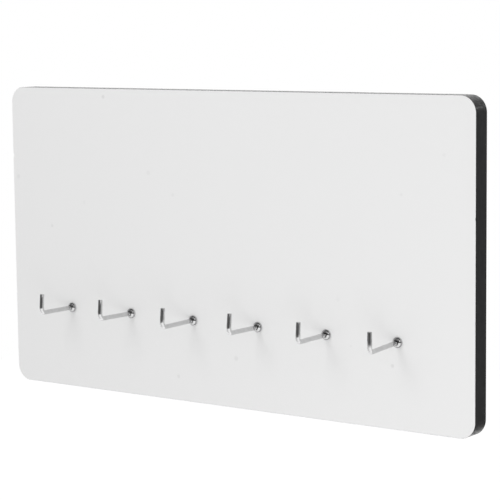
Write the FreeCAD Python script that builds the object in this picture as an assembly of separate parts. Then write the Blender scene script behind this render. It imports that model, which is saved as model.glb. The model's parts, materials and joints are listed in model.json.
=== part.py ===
import FreeCAD, Part

import math
import os
from collections import namedtuple

# Wall hook board: a black board with a white face sheet, and a row of six bent-wire screw hooks.
# Millimetres and degrees. The origin is the middle of the back, on the wall. X runs along the
# board to the right as seen from the front, Y runs into the wall, and Z is up.

# Board
board_width = 350.0
board_height = 195.0
board_thickness = 12.0
board_corner_radius = 10.0
board_back_chamfer = 0.1

# White sheet bonded to the board's front
sheet_thickness = 0.4
sheet_edge_chamfer = 0.15
sheet_hole_clearance = 0.1

# Row of hooks
hook_count = 6
hook_pitch = 50.0
hook_row_height = 52.0
hook_row_shift = -0.8

# Bent wire of a hook
wire_diameter = 2.8
hook_reach = 30.0
post_height = 12.0
bend_radius = 2.4
bend_angle = 94.5
wire_end_break = 0.2

# Screw shank of a hook, in the board
shank_diameter = 2.3
shank_depth = 9.5
shank_point_length = 2.0
shank_run_out = 0.5
pilot_clearance = 0.05
pilot_end_gap = 0.5

# Pressed collar round a hook's stem
collar_diameter = 6.2
collar_height = 2.4
collar_rim_height = 1.1
collar_gauge = 0.45
collar_bore_clearance = 0.15

# Keyhole sockets in the back, for two wall screws
keyhole_spacing = 250.0
keyhole_seat_below_top = 30.0
keyhole_travel = 12.0
keyhole_entry_diameter = 9.5
keyhole_neck_width = 5.0
keyhole_lip = 3.7
keyhole_depth = 8.5

# Wear on the front edges: a chip out of the sheet on the right, a dent in sheet and board on the left
chip_below_top = 69.0
chip_length = 2.6
chip_depth = 0.3
dent_below_top = 45.0
dent_length = 3.7
dent_depth = 0.6

# How each hook stands from having been drilled and screwed in by hand: how far its hole strays
# along the row and up, then the swing sideways, the rise of the outer end, and the lean of the
# post to the right. A hook that isn't named stands true.
Stand = namedtuple("Stand", "along up swing rise lean", defaults=(0.0,) * 5)
hook_stands = {
    1: Stand(along=0.2, up=0.15, swing=-0.6, rise=0.2),
    2: Stand(along=0.15, up=0.3, swing=-2.2, rise=0.4, lean=-0.6),
    3: Stand(along=0.1, swing=-2.3, rise=-1.2, lean=1.2),
    4: Stand(along=-0.25, rise=0.4, lean=0.9),
    5: Stand(up=-0.1, swing=-0.3, rise=-1.1, lean=0.8),
    6: Stand(along=-0.3, up=-0.15, swing=-0.5, rise=-3.6, lean=-0.5),
}

# Places that follow from the sizes
sheet_back = -board_thickness
sheet_front = sheet_back - sheet_thickness
board_top = board_height / 2
hook_row_z = hook_row_height - board_height / 2
wire_radius = wire_diameter / 2
bend_setback = bend_radius * math.tan(math.radians(bend_angle / 2))
shank_radius = shank_diameter / 2

X_AXIS = FreeCAD.Vector(1, 0, 0)
Y_AXIS = FreeCAD.Vector(0, 1, 0)
Z_AXIS = FreeCAD.Vector(0, 0, 1)


def rounded_plate(width, height, radius, front, back):
    """A flat plate with round corners, standing between two depths in Y."""
    x, z = width / 2 - radius, height / 2 - radius
    diagonal = radius * math.sqrt(0.5)
    sides, corners = [], []
    for turn in range(4):
        angle = math.radians(90 * turn)
        c, s = round(math.cos(angle)), round(math.sin(angle))
        half_x, half_z = (x, z) if turn % 2 == 0 else (z, x)

        def at(u, v):
            return FreeCAD.Vector(u * c - v * s, front, u * s + v * c)

        sides.append(Part.LineSegment(at(half_x + radius, -half_z), at(half_x + radius, half_z)))
        corners.append(Part.Arc(at(half_x + radius, half_z),
                                at(half_x + diagonal, half_z + diagonal),
                                at(half_x, half_z + radius)))
    edges = []
    for side, corner in zip(sides, corners):
        edges += [side.toShape(), corner.toShape()]
    return Part.Face(Part.Wire(edges)).extrude(FreeCAD.Vector(0, back - front, 0))


def edges_at_depth(shape, depth):
    """The edges of a shape that lie wholly at one depth in Y."""
    return [edge for edge in shape.Edges
            if abs(edge.BoundBox.YMin - depth) < 1e-6 and abs(edge.BoundBox.YMax - depth) < 1e-6]


def turned(profile, axis=Y_AXIS):
    """A solid turned from a closed profile of (radius, depth) points round the Y axis."""
    points = [FreeCAD.Vector(radius, depth, 0) for radius, depth in profile]
    face = Part.Face(Part.makePolygon(points + points[:1]))
    return face.revolve(FreeCAD.Vector(0, 0, 0), axis, 360)


def hook_numbers():
    """The hooks' numbers, from left to right."""
    return range(1, hook_count + 1)


def hook_stand(number):
    """How a hook stands."""
    return hook_stands.get(number, Stand())


def hook_foot(number):
    """The point on the face where a hook's axis goes in."""
    stand = hook_stand(number)
    first = -hook_pitch * (hook_count - 1) / 2
    x = first + hook_pitch * (number - 1) + hook_row_shift
    return FreeCAD.Vector(x + stand.along, sheet_front, hook_row_z + stand.up)


def hook_placement(number):
    """Where a hook that is drawn at the origin, with its stem along -Y, stands on the board."""
    stand = hook_stand(number)
    turn = (FreeCAD.Rotation(Z_AXIS, stand.swing)
            .multiply(FreeCAD.Rotation(X_AXIS, -stand.rise))
            .multiply(FreeCAD.Rotation(Y_AXIS, stand.lean)))
    return FreeCAD.Placement(hook_foot(number), turn)


def placed(shape, placement):
    """A copy of a shape, moved to its place."""
    copy = shape.copy()
    copy.Placement = placement
    return copy


def post_direction():
    """The way a post runs from its bend: upwards, and a little in towards the board."""
    slope = math.radians(bend_angle - 90)
    return FreeCAD.Vector(0, math.sin(slope), math.cos(slope))


def hook_wire():
    """One L hook at the origin: pointed shank along +Y, stem along -Y, post upwards and a little in."""
    stem_end = -(hook_reach - bend_setback)
    shank_end = shank_depth - shank_point_length
    stem = turned([(0, stem_end), (wire_radius, stem_end), (wire_radius, -shank_run_out),
                   (shank_radius, -shank_run_out + (wire_radius - shank_radius)),
                   (shank_radius, shank_end), (0, shank_depth)])
    ring = Part.Face(Part.Wire(Part.makeCircle(wire_radius, FreeCAD.Vector(0, stem_end, 0), Y_AXIS)))
    bend = ring.revolve(FreeCAD.Vector(0, stem_end, bend_radius), X_AXIS * -1, bend_angle)
    post_length = post_height - bend_setback
    post = Part.makeCylinder(wire_radius, post_length)
    rim = [edge for edge in post.Edges if abs(edge.BoundBox.ZMin - post_length) < 1e-6]
    post = post.makeChamfer(wire_end_break, rim)
    post_foot = FreeCAD.Vector(0, -hook_reach, 0) + post_direction() * bend_setback
    post.Placement = FreeCAD.Placement(post_foot, FreeCAD.Rotation(Z_AXIS, post_direction()))
    return stem.fuse([bend, post]).removeSplitter()


def pilot_hole():
    """The drilled hole that a hook's shank fills, from in front of the face to past its point."""
    radius = shank_radius + pilot_clearance
    start = -(shank_run_out + collar_height)
    end = shank_depth + pilot_end_gap
    return Part.makeCylinder(radius, end - start, FreeCAD.Vector(0, start, 0), Y_AXIS)


def sheet_hole(number):
    """The hole drilled square through the sheet for a hook's shank."""
    foot = hook_foot(number) - Y_AXIS * sheet_thickness
    return Part.makeCylinder(shank_radius + sheet_hole_clearance, 3 * sheet_thickness, foot, Y_AXIS)


def dome_arc(low, high):
    """An arc of a turned profile with its centre on the axis, between two (radius, height) points."""
    (low_radius, low_height), (high_radius, high_height) = low, high
    centre = (low_radius ** 2 + low_height ** 2 - high_radius ** 2 - high_height ** 2)
    centre /= 2 * (low_height - high_height)
    radius = math.hypot(low_radius, low_height - centre)
    middle = (math.atan2(low_height - centre, low_radius)
              + math.atan2(high_height - centre, high_radius)) / 2
    between = (radius * math.cos(middle), centre + radius * math.sin(middle))
    return Part.Arc(*[FreeCAD.Vector(r, -height, 0) for r, height in (low, between, high)])


def collar_cup():
    """One domed collar with its bore, on the face at the origin and hollow towards the board."""
    rim = collar_diameter / 2
    bore = wire_radius + collar_bore_clearance
    inner_rim = rim - collar_gauge
    inner_height = collar_height - collar_gauge
    foot = FreeCAD.Vector(rim, 0, 0)
    shoulder = FreeCAD.Vector(rim, -collar_rim_height, 0)
    top = FreeCAD.Vector(bore, -collar_height, 0)
    inner_top = FreeCAD.Vector(bore, -inner_height, 0)
    inner_shoulder = FreeCAD.Vector(inner_rim, -collar_rim_height, 0)
    inner_foot = FreeCAD.Vector(inner_rim, 0, 0)
    edges = [
        Part.LineSegment(foot, shoulder),
        dome_arc((rim, collar_rim_height), (bore, collar_height)),
        Part.LineSegment(top, inner_top),
        dome_arc((inner_rim, collar_rim_height), (bore, inner_height)),
        Part.LineSegment(inner_shoulder, inner_foot),
        Part.LineSegment(inner_foot, foot),
    ]
    profile = Part.Face(Part.Wire([edge.toShape() for edge in edges]))
    return profile.revolve(FreeCAD.Vector(0, 0, 0), Y_AXIS, 360)


def collar(number):
    """A collar flat on the face, with its bore round the stem of its hook."""
    on_stem = hook_placement(number).multVec(Y_AXIS * -(collar_height - collar_gauge / 2))
    centre = FreeCAD.Vector(on_stem.x, sheet_front, on_stem.z)
    return placed(collar_cup(), FreeCAD.Placement(centre, FreeCAD.Rotation()))


def cutter_radius(length, depth):
    """The radius of a round cutter that leaves a hollow of this length and depth in an edge."""
    return (length ** 2 / 4 + depth ** 2) / (2 * depth)


def edge_chip():
    """What is broken out of the sheet's right edge."""
    radius = cutter_radius(chip_length, chip_depth)
    foot = FreeCAD.Vector(board_width / 2 - chip_depth + radius, sheet_front - sheet_thickness,
                          board_top - chip_below_top)
    return Part.makeCylinder(radius, 3 * sheet_thickness, foot, Y_AXIS)


def edge_dent():
    """What is knocked out of the left front edge, sheet and board alike."""
    radius = cutter_radius(dent_length, dent_depth)
    centre = FreeCAD.Vector(-board_width / 2 + dent_depth - radius, sheet_front,
                            board_top - dent_below_top)
    return Part.makeSphere(radius, centre)


def keyhole(side):
    """One keyhole socket: a round entry, and above it a neck with a wider channel behind its lip."""
    x = side * keyhole_spacing / 2
    seat_z = board_top - keyhole_seat_below_top
    entry_z = seat_z - keyhole_travel
    head_radius = keyhole_entry_diameter / 2
    neck_radius = keyhole_neck_width / 2

    def pocket(radius, z, bottom, mouth):
        return Part.makeCylinder(radius, mouth - bottom, FreeCAD.Vector(x, bottom, z), Y_AXIS)

    def channel(radius, bottom, mouth):
        box = Part.makeBox(2 * radius, mouth - bottom, keyhole_travel,
                           FreeCAD.Vector(x - radius, bottom, entry_z))
        return box.fuse(pocket(radius, seat_z, bottom, mouth))

    entry = pocket(head_radius, entry_z, -keyhole_depth, 1)
    undercut = channel(head_radius, -keyhole_depth, -keyhole_lip)
    neck = channel(neck_radius, -keyhole_depth, 1)
    return entry.fuse([undercut, neck]).removeSplitter()


def board():
    """The black board, with its keyholes routed in the back and its pilot holes drilled."""
    plate = rounded_plate(board_width, board_height, board_corner_radius, sheet_back, 0)
    plate = plate.makeChamfer(board_back_chamfer, edges_at_depth(plate, 0))
    holes = [placed(pilot_hole(), hook_placement(number)) for number in hook_numbers()]
    return plate.cut([keyhole(-1), keyhole(1), edge_dent()] + holes)


def face_sheet():
    """The white sheet on the board's front, drilled through for the hooks."""
    plate = rounded_plate(board_width, board_height, board_corner_radius, sheet_front, sheet_back)
    plate = plate.makeChamfer(sheet_edge_chamfer, edges_at_depth(plate, sheet_front))
    holes = [sheet_hole(number) for number in hook_numbers()]
    return plate.cut([edge_chip(), edge_dent()] + holes)


def build():
    """Every node of the hook board, by its name. The like collars share one, as separate solids."""
    pieces = {"board": board(), "face_sheet": face_sheet()}
    for number in hook_numbers():
        pieces[f"hook_{number}"] = placed(hook_wire(), hook_placement(number))
    pieces["collars"] = Part.makeCompound([collar(number) for number in hook_numbers()])
    return pieces


def main():
    """Write each node to its own file."""
    os.makedirs("parts", exist_ok=True)
    for name, shape in build().items():
        shape.exportStep(f"parts/{name}.step")
        print(name, shape.isValid(), len(shape.Solids), round(shape.Volume, 3))


if __name__ == "__main__":
    main()
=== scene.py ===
"""Looks of the wall hook board: its finishes, bent-wire hooks, collars, stage, light and camera.

Lengths are metres in the row frame: +X to the right as seen from the front, +Y into the wall, +Z up.
"""

import json
import logging
import math
from dataclasses import dataclass
from enum import Enum
from typing import Any, Dict, Optional, Sequence, Tuple, Union

import bmesh
import bpy
from mathutils import Matrix, Vector

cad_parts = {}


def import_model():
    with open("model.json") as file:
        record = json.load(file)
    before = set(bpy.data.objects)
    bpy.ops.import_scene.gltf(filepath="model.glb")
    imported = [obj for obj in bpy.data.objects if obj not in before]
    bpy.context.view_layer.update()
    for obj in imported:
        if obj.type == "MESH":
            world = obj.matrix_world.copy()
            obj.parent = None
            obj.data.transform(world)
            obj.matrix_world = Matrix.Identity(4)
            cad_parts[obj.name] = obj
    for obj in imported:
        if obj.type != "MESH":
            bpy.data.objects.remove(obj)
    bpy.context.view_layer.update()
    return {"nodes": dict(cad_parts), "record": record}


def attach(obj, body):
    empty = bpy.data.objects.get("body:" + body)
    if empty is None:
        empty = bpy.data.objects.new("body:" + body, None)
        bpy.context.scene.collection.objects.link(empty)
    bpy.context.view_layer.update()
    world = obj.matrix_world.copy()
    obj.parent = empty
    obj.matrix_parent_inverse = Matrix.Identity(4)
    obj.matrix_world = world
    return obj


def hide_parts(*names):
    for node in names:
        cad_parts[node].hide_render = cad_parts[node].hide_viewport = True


LOG = logging.getLogger("hook_board")
MM = 0.001

Number = Union["Value", float]
Settings = Dict[str, Any]
Point = Tuple[float, float, float]
Range = Tuple[float, float]
Colour = Union[Point, bpy.types.NodeSocket]


class Slot(Enum):
    """The record's material slots."""

    BOARD = "black_board"
    FACE = "white_face"
    WIRE = "bright_wire"
    COLLAR = "bright_collar"


class Value:
    """A number that varies from place to place. Operators on it add Math nodes to its tree."""

    def __init__(self, graph: "Graph", socket: bpy.types.NodeSocket) -> None:
        """Wrap an output socket of a graph."""
        self.graph = graph
        self.socket = socket

    def __add__(self, other: Number) -> "Value":
        """Sum."""
        return self.graph.math("ADD", self, other)

    def __radd__(self, other: Number) -> "Value":
        """Sum, with this on the right."""
        return self.graph.math("ADD", other, self)

    def __sub__(self, other: Number) -> "Value":
        """Difference."""
        return self.graph.math("SUBTRACT", self, other)

    def __rsub__(self, other: Number) -> "Value":
        """Difference, with this on the right."""
        return self.graph.math("SUBTRACT", other, self)

    def __mul__(self, other: Number) -> "Value":
        """Product."""
        return self.graph.math("MULTIPLY", self, other)

    def __rmul__(self, other: Number) -> "Value":
        """Product, with this on the right."""
        return self.graph.math("MULTIPLY", other, self)

    def __truediv__(self, other: Number) -> "Value":
        """Quotient."""
        return self.graph.math("DIVIDE", self, other)

    def eased(self, low: float, high: float) -> "Value":
        """A smooth step from 0 at low to 1 at high."""
        settings = {"interpolation_type": "SMOOTHSTEP"}
        inputs = {"Value": self, "From Min": low, "From Max": high}
        return Value(self.graph, self.graph.node("ShaderNodeMapRange", settings, inputs).outputs["Result"])

    def window(self, middle: float, half: float, soft: float) -> "Value":
        """1 within half of the middle, 0 outside, with a soft border."""
        away = self.graph.math("ABSOLUTE", self - middle)
        return 1.0 - away.eased(half - soft, half + soft)

    def ramp(self, stops: Sequence[Tuple[float, float]]) -> "Value":
        """Grey levels along a line of (value, level) stops, all from 0 to 1."""
        node = self.graph.node("ShaderNodeValToRGB", {"stops": stops}, {"Fac": self})
        return Value(self.graph, node.outputs["Color"])


class Graph:
    """A node tree under construction, for a material, the world or a shape."""

    def __init__(self, tree: bpy.types.NodeTree) -> None:
        """Work on a tree, emptied of its nodes."""
        self.tree = tree
        tree.nodes.clear()

    def node(self, kind: str, settings: Optional[Settings] = None,
             inputs: Optional[Dict[Any, Any]] = None) -> bpy.types.Node:
        """Add a node.

        Args:
            kind: The node's type.
            settings: Its properties, set first. "stops" holds a colour ramp's (place, grey) pairs.
            inputs: A value or a link for each input socket, by name or number.

        Returns:
            The new node.
        """
        node = self.tree.nodes.new(kind)
        for name, value in (settings or {}).items():
            if name == "stops":
                self._set_stops(node.color_ramp, value)
            else:
                setattr(node, name, value)
        for name, value in (inputs or {}).items():
            self._feed(node.inputs[name], value)
        return node

    def _set_stops(self, ramp: bpy.types.ColorRamp, stops: Sequence[Tuple[float, float]]) -> None:
        """Give a colour ramp its grey stops."""
        while len(ramp.elements) < len(stops):
            ramp.elements.new(1.0)
        for element, (place, grey) in zip(ramp.elements, stops):
            element.position = place
            element.color = (grey, grey, grey, 1.0)

    def _feed(self, socket: bpy.types.NodeSocket, value: Any) -> None:
        """Link an output to an input socket, or set the socket's own value."""
        if isinstance(value, Value):
            value = value.socket
        if isinstance(value, bpy.types.NodeSocket):
            self.tree.links.new(value, socket)
        else:
            socket.default_value = value

    def math(self, operation: str, *operands: Number) -> Value:
        """Add a Math node and return its result."""
        node = self.node("ShaderNodeMath", {"operation": operation}, dict(enumerate(operands)))
        return Value(self, node.outputs[0])

    def object_place(self) -> bpy.types.NodeSocket:
        """The place on the object, which is the place in the row frame."""
        return self.node("ShaderNodeTexCoord").outputs["Object"]

    def parts(self, vector: bpy.types.NodeSocket) -> Tuple[Value, ...]:
        """The X, Y and Z parts of a vector."""
        node = self.node("ShaderNodeSeparateXYZ", inputs={"Vector": vector})
        return tuple(Value(self, node.outputs[axis]) for axis in "XYZ")

    def noise(self, grain: Point, detail: float = 2.0, roughness: float = 0.5) -> Value:
        """Noise from 0 to 1.

        Args:
            grain: The size of a grain along X, Y and Z.
            detail: Octaves of finer noise.
            roughness: How strong the finer octaves are.

        Returns:
            The noise, 0.5 on average.
        """
        scale = tuple(1.0 / size for size in grain)
        place = self.node("ShaderNodeMapping", inputs={"Vector": self.object_place(), "Scale": scale})
        inputs = {"Vector": place.outputs["Vector"], "Scale": 1.0, "Detail": detail, "Roughness": roughness}
        return Value(self, self.node("ShaderNodeTexNoise", inputs=inputs).outputs["Fac"])

    def mixed(self, share: Value, low: Colour, high: Colour) -> bpy.types.NodeSocket:
        """A colour between two, each a constant or a link, by a share of the second."""
        low, high = ((*end, 1.0) if isinstance(end, tuple) else end for end in (low, high))
        node = self.node("ShaderNodeMix", {"data_type": "RGBA"}, {0: share, 6: low, 7: high})
        return node.outputs[2]

    def bump(self, height: Value, relief: float, strength: float = 1.0) -> bpy.types.NodeSocket:
        """A normal for a height from 0 to 1 that stands for this relief in metres."""
        inputs = {"Height": height, "Distance": relief, "Strength": strength}
        return self.node("ShaderNodeBump", inputs=inputs).outputs["Normal"]


@dataclass(frozen=True)
class Finish:
    """A surface finish. Each kind paints its own shader."""

    name: str
    slot: Slot

    def material(self) -> bpy.types.Material:
        """Build the finish's material."""
        material = bpy.data.materials.new(self.name)
        material.use_nodes = True
        graph = Graph(material.node_tree)
        shader = graph.node("ShaderNodeBsdfPrincipled", inputs=self.paint(graph))
        graph.node("ShaderNodeOutputMaterial", inputs={"Surface": shader.outputs["BSDF"]})
        return material

    def paint(self, graph: Graph) -> Dict[str, Any]:
        """Inputs of the finish's shader."""
        raise NotImplementedError


@dataclass(frozen=True)
class Fibreboard(Finish):
    """Through-dyed pressed fibreboard, sanded and sealed."""

    dark: Point = (0.010, 0.010, 0.0105)
    light: Point = (0.022, 0.022, 0.023)
    fibre: Point = (0.9 * MM, 0.22 * MM, 0.9 * MM)
    layer: Point = (14 * MM, 0.5 * MM, 14 * MM)
    fibre_share: float = 0.6
    tone_range: Range = (0.3, 0.7)
    fibre_relief: float = 0.02 * MM
    smooth: float = 0.46
    rough: float = 0.62
    sheen: float = 0.18
    patch: Point = (1.3 * MM, 1.3 * MM, 1.3 * MM)
    patch_range: Range = (0.38, 0.62)
    thin_sealer: float = 0.08
    thick_sealer: float = 0.7
    sealer_rough: float = 0.26

    def paint(self, graph: Graph) -> Dict[str, Any]:
        """Fine fibres in faint layers parallel to the faces, under a sealer that soaked in unevenly."""
        fibres = graph.noise(self.fibre, detail=4.0, roughness=0.6)
        layers = graph.noise(self.layer)
        tone = (fibres * self.fibre_share + layers * (1.0 - self.fibre_share)).eased(*self.tone_range)
        soaked = graph.noise(self.patch, detail=3.0, roughness=0.6).eased(*self.patch_range)
        return {
            "Base Color": graph.mixed(tone, self.dark, self.light),
            "Roughness": self.smooth + (self.rough - self.smooth) * fibres,
            "Specular IOR Level": self.sheen,
            "Coat Weight": self.thin_sealer + (self.thick_sealer - self.thin_sealer) * soaked,
            "Coat Roughness": self.sealer_rough,
            "Normal": graph.bump(fibres, self.fibre_relief),
        }


@dataclass(frozen=True)
class Mark:
    """A faint grey speck on the white face, by its place in the row frame."""

    x: float
    z: float
    radius: float
    strength: float


@dataclass(frozen=True)
class WhiteSheet(Finish):
    """Dark-cored laminate sheet with a thin white decor layer in front, satin, with a few specks."""

    white: Point = (0.83, 0.83, 0.83)
    grey: Point = (0.42, 0.42, 0.42)
    core: Point = (0.014, 0.014, 0.0145)
    front: float = -12.4 * MM
    decor_depth: float = 0.06 * MM
    decor_blur: float = 0.018 * MM
    cloud: Point = (60 * MM, 60 * MM, 60 * MM)
    cloud_depth: float = 0.012
    ripple: Point = (2.2 * MM, 2.2 * MM, 2.2 * MM)
    ripple_relief: float = 0.004 * MM
    grain: Point = (0.25 * MM, 0.25 * MM, 0.25 * MM)
    grain_share: float = 0.2
    roughness: float = 0.4
    roughness_spread: float = 0.08
    marks: Tuple[Mark, ...] = (
        Mark(-96.1 * MM, 92.3 * MM, 1.6 * MM, 0.24),
        Mark(-60.2 * MM, 45.2 * MM, 1.9 * MM, 0.1),
        Mark(-40.8 * MM, 32.2 * MM, 1.6 * MM, 0.09),
        Mark(-142.0 * MM, 7.3 * MM, 1.4 * MM, 0.18),
        Mark(154.5 * MM, 63.8 * MM, 1.5 * MM, 0.08),
        Mark(126.2 * MM, 40.1 * MM, 1.2 * MM, 0.11),
        Mark(7.0 * MM, -66.5 * MM, 2.0 * MM, 0.17),
        Mark(-38.3 * MM, -82.3 * MM, 1.6 * MM, 0.18),
        Mark(120.0 * MM, -60.0 * MM, 1.5 * MM, 0.25),
        Mark(-114.0 * MM, 24.0 * MM, 1.5 * MM, 0.07),
        Mark(-170.9 * MM, 38.5 * MM, 2.0 * MM, 0.13),
        Mark(91.3 * MM, -51.0 * MM, 1.0 * MM, 0.1),
        Mark(82.2 * MM, -23.9 * MM, 1.8 * MM, 0.06),
    )

    def paint(self, graph: Graph) -> Dict[str, Any]:
        """A clean white with clouds too faint to name, specks, ripples and a fine grain."""
        clouds = graph.noise(self.cloud, detail=3.0)
        grain = graph.noise(self.grain)
        ripple = graph.noise(self.ripple)
        x, y, z = graph.parts(graph.object_place())
        shade = clouds * self.cloud_depth
        for mark in self.marks:
            shade = shade + self._spot(x, z, mark)
        depth = y - self.front
        in_core = depth.eased(self.decor_depth - self.decor_blur, self.decor_depth + self.decor_blur)
        decor = graph.mixed(shade, self.white, self.grey)
        return {
            "Base Color": graph.mixed(in_core, decor, self.core),
            "Roughness": self.roughness + self.roughness_spread * (grain - 0.5),
            "Normal": graph.bump(ripple + grain * self.grain_share, self.ripple_relief),
        }

    def _spot(self, x: Value, z: Value, mark: Mark) -> Value:
        """How strongly a mark shades a place."""
        across = (x - mark.x) / mark.radius
        up = (z - mark.z) / mark.radius
        return (1.0 - (across * across + up * up)).eased(0.0, 1.0) * mark.strength


@dataclass(frozen=True)
class Plating(Finish):
    """Bright plating over drawn wire or pressed sheet."""

    metal: Point = (0.62, 0.62, 0.625)
    dull: Point = (0.56, 0.56, 0.56)
    draw: Point = (0.25 * MM, 0.25 * MM, 0.25 * MM)
    draw_relief: float = 0.001 * MM
    haze: Point = (2.5 * MM, 2.5 * MM, 2.5 * MM)
    haze_range: Range = (0.35, 0.75)
    bright: float = 0.07
    hazy: float = 0.16

    def paint(self, graph: Graph) -> Dict[str, Any]:
        """Mirror-like metal with a faint haze and the ghost of its drawing marks."""
        streaks = graph.noise(self.draw)
        haze = graph.noise(self.haze)
        return {
            "Base Color": graph.mixed(haze.eased(*self.haze_range), self.metal, self.dull),
            "Metallic": 1.0,
            "Roughness": self.bright + (self.hazy - self.bright) * (haze * 0.5 + streaks * 0.5),
            "Normal": graph.bump(streaks, self.draw_relief),
        }


@dataclass(frozen=True)
class CollarPlating(Plating):
    """The same plating on a pressed collar, with a painted shade band along the shoulder that darkens its
    reflection.
    """

    face: float = -12.4 * MM
    shoulder: float = 1.3 * MM
    half_width: float = 0.3 * MM
    border: float = 0.12 * MM
    # Painted shade: the grey of the dark shoulder band, standing in for shade in the metal, not a colour it
    # has.
    shade_grey: Point = (0.26, 0.26, 0.262)

    def paint(self, graph: Graph) -> Dict[str, Any]:
        """The plating, with a painted shade band at the shoulder's height above the face."""
        inputs = super().paint(graph)
        depth = graph.parts(graph.object_place())[1]
        # Painted shade: a dark band on the dome's shoulder that stands in for shade seen in the collar.
        shade_band = (self.face - depth).window(self.shoulder, self.half_width, self.border)
        inputs["Base Color"] = graph.mixed(shade_band, inputs["Base Color"], self.shade_grey)
        return inputs


class ShapeTree:
    """A Geometry Nodes tree that shapes a row of like pieces on a mesh of seats."""

    def __init__(self, name: str) -> None:
        """Start a tree with its geometry and material sockets."""
        self.group = bpy.data.node_groups.new(name, "GeometryNodeTree")
        self.graph = Graph(self.group)
        self._values: Dict[str, Any] = {}
        self._socket("Geometry", "INPUT", "NodeSocketGeometry")
        self._socket("Geometry", "OUTPUT", "NodeSocketGeometry")
        self.input = self.graph.node("NodeGroupInput")

    def _socket(self, name: str, way: str, kind: str) -> str:
        """Add a socket to the tree's interface and return its identifier."""
        return self.group.interface.new_socket(name=name, in_out=way, socket_type=kind).identifier

    def size(self, name: str, value: float) -> Value:
        """Add a named length or angle to the tree's inputs, to be set on the modifier."""
        self._values[self._socket(name, "INPUT", "NodeSocketFloat")] = value
        return Value(self.graph, self.input.outputs[name])

    def thing(self, name: str, kind: str, value: Any) -> bpy.types.NodeSocket:
        """Add a named object or material to the tree's inputs, to be set on the modifier."""
        self._values[self._socket(name, "INPUT", kind)] = value
        return self.input.outputs[name]

    def place(self, x: Number, y: Number, z: Number) -> bpy.types.NodeSocket:
        """A point from its three parts."""
        return self.graph.node("ShaderNodeCombineXYZ", inputs={0: x, 1: y, 2: z}).outputs["Vector"]

    def close(self, piece: bpy.types.NodeSocket, turn: str, material: bpy.types.Material) -> None:
        """Put the piece on every seat, turned by the seats' attribute, and end the tree."""
        graph = self.graph
        angles = graph.node("GeometryNodeInputNamedAttribute",
                            {"data_type": "FLOAT_VECTOR"}, {"Name": turn})
        row = graph.node("GeometryNodeInstanceOnPoints", inputs={
            "Points": self.input.outputs["Geometry"],
            "Instance": piece,
            "Rotation": graph.node("FunctionNodeEulerToRotation",
                                   inputs={"Euler": angles.outputs["Attribute"]}).outputs["Rotation"],
        })
        solid = graph.node("GeometryNodeRealizeInstances", inputs={"Geometry": row.outputs["Instances"]})
        dressed = graph.node("GeometryNodeSetMaterial", inputs={
            "Geometry": solid.outputs["Geometry"],
            "Material": self.thing("Finish", "NodeSocketMaterial", material),
        })
        graph.node("NodeGroupOutput", inputs={"Geometry": dressed.outputs["Geometry"]})

    def grow(self, name: str, seats: bpy.types.Mesh, sharp_angle: float) -> bpy.types.Object:
        """Run the tree on the seats.

        Args:
            name: The new piece's name.
            seats: A mesh with one vertex where each like piece stands.
            sharp_angle: Edges that turn more than this stay sharp.

        Returns:
            A plain mesh object with no modifier.
        """
        seed = bpy.data.objects.new(f"{name}_seats", seats)
        bpy.context.scene.collection.objects.link(seed)
        modifier = seed.modifiers.new(name, "NODES")
        modifier.node_group = self.group
        for identifier, value in self._values.items():
            modifier[identifier] = value
        bpy.context.view_layer.update()
        evaluated = seed.evaluated_get(bpy.context.evaluated_depsgraph_get())
        mesh = bpy.data.meshes.new_from_object(evaluated)
        seed.modifiers.remove(modifier)
        bpy.data.objects.remove(seed)
        mesh.name = name
        mesh.polygons.foreach_set("use_smooth", [True] * len(mesh.polygons))
        mesh.set_sharp_from_angle(angle=sharp_angle)
        piece = bpy.data.objects.new(name, mesh)
        bpy.context.scene.collection.objects.link(piece)
        return piece


@dataclass(frozen=True)
class Seat:
    """Where a hook stands: its foot on the face, and its turn."""

    foot: Vector
    turn: Matrix


@dataclass(frozen=True)
class Panel:
    """The black board with its white face sheet, both kept as they come from the frame."""

    board_finish: Finish
    face_finish: Finish

    def dress(self, nodes: Dict[str, bpy.types.Object]) -> None:
        """Give the board and its sheet their finishes."""
        for name, finish in (("board", self.board_finish), ("face_sheet", self.face_finish)):
            node = nodes[name]
            node.data.materials.clear()
            node.data.materials.append(finish.material())
            LOG.info("%s: %d faces, finish %s", name, len(node.data.polygons), finish.name)


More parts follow.
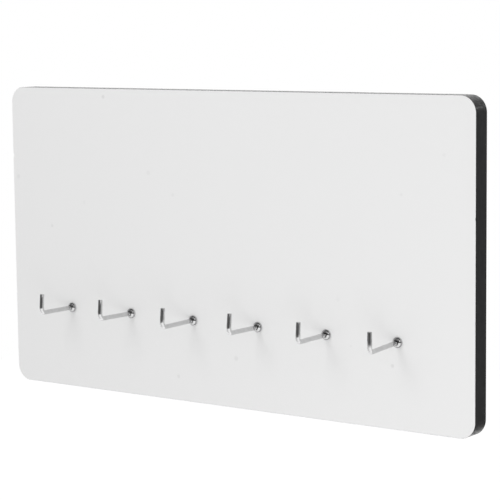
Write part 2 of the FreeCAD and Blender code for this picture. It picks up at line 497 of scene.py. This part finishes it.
@dataclass(frozen=True)
class HookRow:
    """Six bent-wire screw hooks, each as its own mount says that it stands.

    The mounts were placed by bend_radius. The wire is drawn a little rounder, by bend_drawn.
    """

    finish: Finish
    count: int = 6
    wire_radius: float = 1.4 * MM
    reach: float = 30.0 * MM
    post_height: float = 12.0 * MM
    bend_radius: float = 2.4 * MM
    bend_angle: float = math.radians(94.5)
    bend_drawn: float = 3.0 * MM
    end_break: float = 0.2 * MM
    end_shoulder: float = 0.3
    shank_radius: float = 1.15 * MM
    shank_depth: float = 9.5 * MM
    point_length: float = 2.0 * MM
    run_out: float = 0.5 * MM
    point_radius: float = 0.08 * MM
    bend_steps: int = 24
    round_steps: int = 40
    sharp_angle: float = math.radians(50)

    def seats(self, nodes: Dict[str, bpy.types.Object], record: Dict[str, Any]) -> Sequence[Seat]:
        """Work out each hook's foot and turn from its mount and the point of its shank.

        Args:
            nodes: The frame's nodes.
            record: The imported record, with a mount on each hook's post.

        Returns:
            The seats from left to right.
        """
        mounts = {mount["name"]: mount for mount in record["mounts"]}
        found = []
        for number in range(1, self.count + 1):
            mount = mounts[f"hook_{number}_post"]
            up = Vector(mount["axis"]).normalized()
            on_post = Vector(mount["pos_m"])
            places = [vertex.co for vertex in nodes[f"hook_{number}"].data.vertices]
            point = max(places, key=lambda place: place.y)
            setback = self.bend_radius * math.tan(self.bend_angle / 2)
            middle = (setback + self.post_height) / 2
            inwards = (point - on_post + up * middle).normalized()
            across = inwards.cross(up).normalized()
            turn = Matrix((across, inwards, across.cross(inwards))).transposed()
            found.append(Seat(foot=point - inwards * self.shank_depth, turn=turn))
        return found

    def build(self, seats: Sequence[Seat]) -> bpy.types.Object:
        """Grow the row of hooks on its seats."""
        mesh = bpy.data.meshes.new("hook_seats")
        mesh.from_pydata([seat.foot for seat in seats], [], [])
        turns = mesh.attributes.new("turn", "FLOAT_VECTOR", "POINT")
        for value, seat in zip(turns.data, seats):
            value.vector = seat.turn.to_euler()
        tree = ShapeTree("bent_wire_hook")
        piece = self._wire(tree)
        tree.close(piece, "turn", self.finish.material())
        hooks = tree.grow("hooks", mesh, self.sharp_angle)
        LOG.info("hooks: %d faces", len(hooks.data.polygons))
        return hooks

    def _wire(self, tree: ShapeTree) -> bpy.types.NodeSocket:
        """One hook in the tree: a path from the point of the shank to the top of the post."""
        graph = tree.graph
        wire = tree.size("Wire Radius", self.wire_radius)
        shank = tree.size("Shank Radius", self.shank_radius)
        depth = tree.size("Shank Depth", self.shank_depth)
        point_length = tree.size("Point Length", self.point_length)
        point_radius = tree.size("Point Radius", self.point_radius)
        run_out = tree.size("Run Out", self.run_out)
        reach = tree.size("Reach", self.reach)
        height = tree.size("Post Height", self.post_height)
        bend = tree.size("Bend Radius", self.bend_drawn)
        end_break = tree.size("End Break", self.end_break)
        slope = tree.size("Post Slope", self.bend_angle - math.pi / 2)
        inwards = graph.math("SINE", slope)
        upwards = graph.math("COSINE", slope)

        def on_post(along: Value) -> bpy.types.NodeSocket:
            """A point of the post's middle line, by its distance from the corner."""
            return tree.place(0.0, along * inwards - reach, along * upwards)

        stations = (
            (tree.place(0.0, depth, 0.0), point_radius),
            (tree.place(0.0, depth - point_length, 0.0), shank),
            (tree.place(0.0, 0.0, 0.0), shank),
            (tree.place(0.0, 0.0 - run_out, 0.0), wire),
            (tree.place(0.0, 0.0 - reach, 0.0), wire),
            (on_post(height - end_break), wire),
            (on_post(height - end_break * self.end_shoulder), wire - end_break * self.end_shoulder),
            (on_post(height), wire - end_break),
        )
        corner_station = 4
        index = graph.node("GeometryNodeInputIndex").outputs["Index"]
        line = graph.node("GeometryNodeMeshLine", inputs={"Count": len(stations)})
        path = graph.node("GeometryNodeMeshToCurve", inputs={"Mesh": line.outputs["Mesh"]})
        places = self._switch(graph, "VECTOR", index, [station[0] for station in stations])
        radii = self._switch(graph, "FLOAT", index, [station[1] for station in stations])
        laid = graph.node("GeometryNodeSetPosition",
                          inputs={"Geometry": path.outputs["Curve"], "Position": places})
        sized = graph.node("GeometryNodeSetCurveRadius",
                           inputs={"Curve": laid.outputs["Geometry"], "Radius": radii})
        corner = graph.node("FunctionNodeCompare", {"data_type": "INT", "operation": "EQUAL"},
                            {"A": index, "B": corner_station})
        return self._swept(graph, sized, corner, bend)

    def _swept(self, graph: Graph, path: bpy.types.Node, corner: bpy.types.Node,
               bend: Value) -> bpy.types.NodeSocket:
        """Round the path's corner and sweep the wire's section along it."""
        bend_at = graph.node("GeometryNodeSwitch", {"input_type": "FLOAT"},
                             {"Switch": corner.outputs["Result"], "False": 0.0, "True": bend})
        rounded = graph.node("GeometryNodeFilletCurve", {"mode": "POLY"}, {
            "Curve": path.outputs["Curve"], "Radius": bend_at.outputs["Output"],
            "Limit Radius": True, "Count": self.bend_steps})
        ring = graph.node("GeometryNodeCurvePrimitiveCircle",
                          inputs={"Resolution": self.round_steps, "Radius": 1.0})
        radius = graph.node("GeometryNodeInputRadius").outputs["Radius"]
        swept = graph.node("GeometryNodeCurveToMesh", inputs={
            "Curve": rounded.outputs["Curve"], "Profile Curve": ring.outputs["Curve"],
            "Scale": radius, "Fill Caps": True})
        return swept.outputs["Mesh"]

    def _switch(self, graph: Graph, kind: str, index: bpy.types.NodeSocket,
                choices: Sequence[Any]) -> bpy.types.NodeSocket:
        """The choice that an index picks."""
        node = graph.tree.nodes.new("GeometryNodeIndexSwitch")
        node.data_type = kind
        while len(node.index_switch_items) < len(choices):
            node.index_switch_items.new()
        graph.tree.links.new(index, node.inputs["Index"])
        for number, choice in enumerate(choices):
            source = choice.socket if isinstance(choice, Value) else choice
            graph.tree.links.new(source, node.inputs[1 + number])
        return node.outputs["Output"]


@dataclass(frozen=True)
class CollarRow:
    """Six pressed, domed collars, one round each hook's stem."""

    finish: Finish
    rim_radius: float = 3.1 * MM
    height: float = 2.4 * MM
    rim_height: float = 1.1 * MM
    gauge: float = 0.45 * MM
    bore_radius: float = 1.55 * MM
    weld: float = 0.001 * MM
    dome_steps: int = 10
    turn_steps: int = 72
    sharp_angle: float = math.radians(40)

    def _dome(self, low: Tuple[float, float], high: Tuple[float, float]) -> Sequence[Tuple[float, float]]:
        """Points of a dome's section, centred on the axis, between two (radius, height) points."""
        centre = (low[0] ** 2 + low[1] ** 2 - high[0] ** 2 - high[1] ** 2) / (2 * (low[1] - high[1]))
        radius = math.hypot(low[0], low[1] - centre)
        start = math.atan2(low[1] - centre, low[0])
        end = math.atan2(high[1] - centre, high[0])
        angles = [start + (end - start) * step / self.dome_steps for step in range(self.dome_steps + 1)]
        return [(radius * math.cos(angle), centre + radius * math.sin(angle)) for angle in angles]

    def _section(self) -> Sequence[Tuple[float, float]]:
        """The collar's closed section as (radius, height) points, anticlockwise."""
        outer = self._dome((self.rim_radius, self.rim_height), (self.bore_radius, self.height))
        inner = self._dome((self.rim_radius - self.gauge, self.rim_height),
                           (self.bore_radius, self.height - self.gauge))
        foot = [(self.rim_radius - self.gauge, 0.0), (self.rim_radius, 0.0)]
        return foot + list(outer) + list(reversed(inner))

    def _master(self) -> bpy.types.Object:
        """One collar turned round its own axis, standing at the origin."""
        mesh = bpy.data.meshes.new("collar_master")
        shape = bmesh.new()
        ring = [shape.verts.new((radius, -height, 0.0)) for radius, height in self._section()]
        edges = [shape.edges.new((ring[i - 1], ring[i])) for i in range(len(ring))]
        bmesh.ops.spin(shape, geom=ring + edges, axis=(0.0, 1.0, 0.0), cent=(0.0, 0.0, 0.0),
                       angle=math.tau, steps=self.turn_steps, use_merge=True)
        bmesh.ops.remove_doubles(shape, verts=shape.verts, dist=self.weld)
        bmesh.ops.recalc_face_normals(shape, faces=shape.faces)
        shape.to_mesh(mesh)
        shape.free()
        return bpy.data.objects.new("collar_master", mesh)

    def _centre(self, seat: Seat) -> Vector:
        """Where a collar stands on the face so that its bore is round the hook's stem."""
        on_stem = seat.foot - seat.turn.col[1] * (self.height - self.gauge / 2)
        return Vector((on_stem.x, seat.foot.y, on_stem.z))

    def build(self, seats: Sequence[Seat]) -> bpy.types.Object:
        """Set a collar on the face round each hook."""
        mesh = bpy.data.meshes.new("collar_seats")
        mesh.from_pydata([self._centre(seat) for seat in seats], [], [])
        mesh.attributes.new("turn", "FLOAT_VECTOR", "POINT")
        master = self._master()
        bpy.context.scene.collection.objects.link(master)
        tree = ShapeTree("collar_row")
        source = tree.graph.node("GeometryNodeObjectInfo", inputs={
            "Object": tree.thing("Collar", "NodeSocketObject", master)})
        tree.close(source.outputs["Geometry"], "turn", self.finish.material())
        collars = tree.grow("collars_pressed", mesh, self.sharp_angle)
        bpy.data.objects.remove(master)
        LOG.info("collars: %d faces", len(collars.data.polygons))
        return collars


@dataclass(frozen=True)
class Stage:
    """A pale floor well under the hung board."""

    drop: float = 0.42
    half_width: float = 1.5
    front: float = 1.3
    back: float = 1.7
    floor_grey: float = 0.8
    glow: float = 0.45

    def build(self) -> None:
        """Lay the floor."""
        z = -self.drop
        mesh = bpy.data.meshes.new("floor")
        mesh.from_pydata([(-self.half_width, -self.front, z), (self.half_width, -self.front, z),
                          (self.half_width, self.back, z), (-self.half_width, self.back, z)],
                         [], [(0, 1, 2, 3)])
        floor = bpy.data.objects.new("floor", mesh)
        bpy.context.scene.collection.objects.link(floor)
        floor.data.materials.append(self._paint())
        floor.visible_glossy = False

    def _paint(self) -> bpy.types.Material:
        """Plain pale paint that looks white to the camera and keeps a shadow."""
        material = bpy.data.materials.new("floor")
        material.use_nodes = True
        graph = Graph(material.node_tree)
        seen = Value(graph, graph.node("ShaderNodeLightPath").outputs["Is Camera Ray"])
        paint = graph.node("ShaderNodeBsdfDiffuse", inputs={"Color": (self.floor_grey,) * 3 + (1.0,)})
        glow = graph.node("ShaderNodeEmission", inputs={"Strength": seen * self.glow})
        both = graph.node("ShaderNodeAddShader",
                          inputs={0: paint.outputs["BSDF"], 1: glow.outputs["Emission"]})
        graph.node("ShaderNodeOutputMaterial", inputs={"Surface": both.outputs["Shader"]})
        return material


@dataclass(frozen=True)
class Lamp:
    """A square soft box."""

    name: str
    place: Point
    target: Point
    side: float
    power: float
    mirrored: bool = False

    def build(self) -> None:
        """Hang the lamp and point it."""
        data = bpy.data.lights.new(self.name, "AREA")
        data.shape = "SQUARE"
        data.size = self.side
        data.energy = self.power
        lamp = bpy.data.objects.new(self.name, data)
        lamp.location = self.place
        aim = Vector(self.target) - Vector(self.place)
        lamp.rotation_euler = aim.to_track_quat("-Z", "Y").to_euler()
        lamp.visible_glossy = self.mirrored
        bpy.context.scene.collection.objects.link(lamp)


LAMPS = (
    Lamp("key", place=(-0.125, -0.85, 0.645), target=(0.0, 0.0, -0.02), side=0.45, power=2.6),
    Lamp("right", place=(0.45, -0.6, -0.25), target=(0.12, 0.0, -0.02), side=0.3, power=0.95),
    Lamp("rim", place=(0.55, 0.45, 0.35), target=(0.17, 0.0, 0.05), side=0.3, power=0.6, mirrored=True),
)


@dataclass(frozen=True)
class Patch:
    """A bright or dark part of the room as the metal mirrors it.

    Turn is in degrees to the right of straight ahead of the board, rise in degrees above the horizon.
    """

    turn: float
    rise: float
    half_turn: float
    half_rise: float
    level: float
    soft: float = 3.0


@dataclass(frozen=True)
class Room:
    """The studio round the board: white behind left and below, dim in front and behind right.

    Around holds levels by turn in degrees, and the patches lie over them. Ranges named across and
    depth are of a direction's part to the right and to the back, and those named rise are in degrees.
    """

    fill: float = 0.703
    right_gain: float = 0.06
    behind_left: float = 1.4
    behind_right: float = 0.1
    behind_across: Range = (-0.2, 0.4)
    behind_depth: Range = (-0.12, 0.05)
    beside_depth: Range = (0.35, 0.6)
    table_left: float = 0.8
    table_right: float = 1.3
    table_across: Range = (-0.8, 0.6)
    table_rise: Range = (-11.5, -3.5)
    underfoot: float = 1.2
    underfoot_rise: Range = (-78.0, -60.0)
    around: Tuple[Tuple[float, float], ...] = (
        (-90.0, 0.08), (-52.0, 0.08), (-38.0, 0.25), (-14.0, 0.25), (-6.0, 0.06), (6.0, 0.06), (14.0, 0.11),
        (24.0, 0.09), (32.0, 0.03), (38.0, 0.1), (60.0, 0.24), (75.0, 0.45), (90.0, 0.5))
    patches: Tuple[Patch, ...] = (
        Patch(-55.0, 50.0, 38.0, 28.0, 0.2),
        Patch(56.0, 30.0, 19.0, 13.0, 1.25),
        Patch(18.0, 48.0, 24.0, 6.0, 0.8),
    )

    def build(self) -> None:
        """Light the world."""
        world = bpy.data.worlds.new("studio")
        world.use_nodes = True
        bpy.context.scene.world = world
        graph = Graph(world.node_tree)
        rays = graph.node("ShaderNodeLightPath")
        camera = Value(graph, rays.outputs["Is Camera Ray"])
        glossy = Value(graph, rays.outputs["Is Glossy Ray"])
        right, back, up = graph.parts(graph.node("ShaderNodeTexCoord").outputs["Generated"])
        soft = self.fill * (1.0 + self.right_gain * right)
        lighting = glossy * self._mirrored(graph, right, back, up) + (1.0 - glossy) * soft
        level = camera + (1.0 - camera) * lighting
        background = graph.node("ShaderNodeBackground",
                                inputs={"Color": (1.0, 1.0, 1.0, 1.0), "Strength": level})
        graph.node("ShaderNodeOutputWorld", inputs={"Surface": background.outputs["Background"]})

    def _mirrored(self, graph: Graph, right: Value, back: Value, up: Value) -> Value:
        """The room as the metal shows it."""
        turn = graph.math("ARCTAN2", right, 0.0 - back) * math.degrees(1.0)
        rise = graph.math("ARCSINE", up) * math.degrees(1.0)
        first, last = self.around[0][0], self.around[-1][0]
        stops = [((stop - first) / (last - first), level) for stop, level in self.around]
        ahead = ((turn - first) / (last - first)).ramp(stops)
        on_table = 1.0 - rise.eased(*self.table_rise)
        far = rise.eased(*self.underfoot_rise)
        table = self.table_left + (self.table_right - self.table_left) * right.eased(*self.table_across)
        below = self.underfoot + far * (table - self.underfoot)
        ahead = ahead + on_table * (below - ahead)
        for patch in self.patches:
            weight = (turn.window(patch.turn, patch.half_turn, patch.soft)
                      * rise.window(patch.rise, patch.half_rise, patch.soft))
            ahead = ahead + weight * (patch.level - ahead)
        beside = 1.0 - back.eased(*self.beside_depth)
        dim_behind = right.eased(*self.behind_across) * (1.0 - on_table * beside)
        behind = self.behind_left - (self.behind_left - self.behind_right) * dim_behind
        in_front = 1.0 - back.eased(*self.behind_depth)
        return behind + in_front * (ahead - behind)


@dataclass(frozen=True)
class Viewpoint:
    """The photograph's camera."""

    place: Point = (0.71216, -0.95768, 0.14445)
    turn: float = math.radians(36.273)
    tilt: float = math.radians(-6.957)
    roll: float = math.radians(-0.637)
    focal_pixels: float = 1946.0
    frame_pixels: float = 500.0
    sensor: float = 36.0
    clip_start: float = 0.01
    clip_end: float = 50.0

    def build(self) -> None:
        """Set the camera up."""
        data = bpy.data.cameras.new("viewpoint")
        data.sensor_fit = "HORIZONTAL"
        data.sensor_width = self.sensor
        data.lens = self.sensor * self.focal_pixels / self.frame_pixels
        data.clip_start = self.clip_start
        data.clip_end = self.clip_end
        camera = bpy.data.objects.new("viewpoint", data)
        aim = (Matrix.Rotation(self.turn, 4, "Z") @ Matrix.Rotation(math.pi / 2 + self.tilt, 4, "X")
               @ Matrix.Rotation(self.roll, 4, "Z"))
        camera.matrix_world = Matrix.Translation(self.place) @ aim
        bpy.context.scene.collection.objects.link(camera)
        bpy.context.scene.camera = camera


def main() -> None:
    """Load the frame, dress it and set the stage."""
    logging.basicConfig(level=logging.INFO, format="%(name)s: %(message)s")
    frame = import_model()
    nodes = frame["nodes"]
    bpy.context.scene.view_settings.view_transform = "Standard"

    Viewpoint().build()
    Panel(Fibreboard("black_fibreboard", Slot.BOARD), WhiteSheet("white_sheet", Slot.FACE)).dress(nodes)
    row = HookRow(Plating("bright_wire", Slot.WIRE))
    seats = row.seats(nodes, frame["record"])
    hooks = row.build(seats)
    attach(hooks, "root")
    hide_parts(*[f"hook_{number}" for number in range(1, row.count + 1)])
    collars = CollarRow(CollarPlating("bright_collar", Slot.COLLAR)).build(seats)
    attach(collars, "root")
    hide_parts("collars")

    Stage().build()
    Room().build()
    for lamp in LAMPS:
        lamp.build()


if __name__ == "__main__":
    main()
